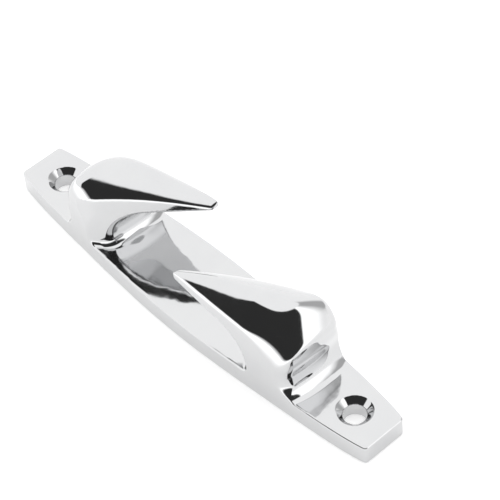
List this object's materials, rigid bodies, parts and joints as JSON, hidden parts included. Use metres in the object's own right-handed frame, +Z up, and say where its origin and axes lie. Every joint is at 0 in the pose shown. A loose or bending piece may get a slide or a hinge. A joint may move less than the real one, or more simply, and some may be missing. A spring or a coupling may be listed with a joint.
{
  "type": "skene bow chock",
  "caption": "Straight Skene-pattern rope chock: a boat-shaped deck base with countersunk feet and opposed pointed horns that lean over the rope channel and leave a diagonal slot.",
  "frame": {"origin": "centre of the underside, midway between the fastener holes, on the deck plane", "axes": "+X along the chock from the forward foot to the aft foot, +Y across the rope channel, +Z up out of the deck"},
  "size_m": [0.152, 0.0276, 0.0336],
  "materials": {
    "polished_stainless": "mirror polished cast stainless steel"
  },
  "bodies": {
    "root": {"base": "polished_stainless", "forward_horn": "polished_stainless", "aft_horn": "polished_stainless"}
  },
  "joints": []
}
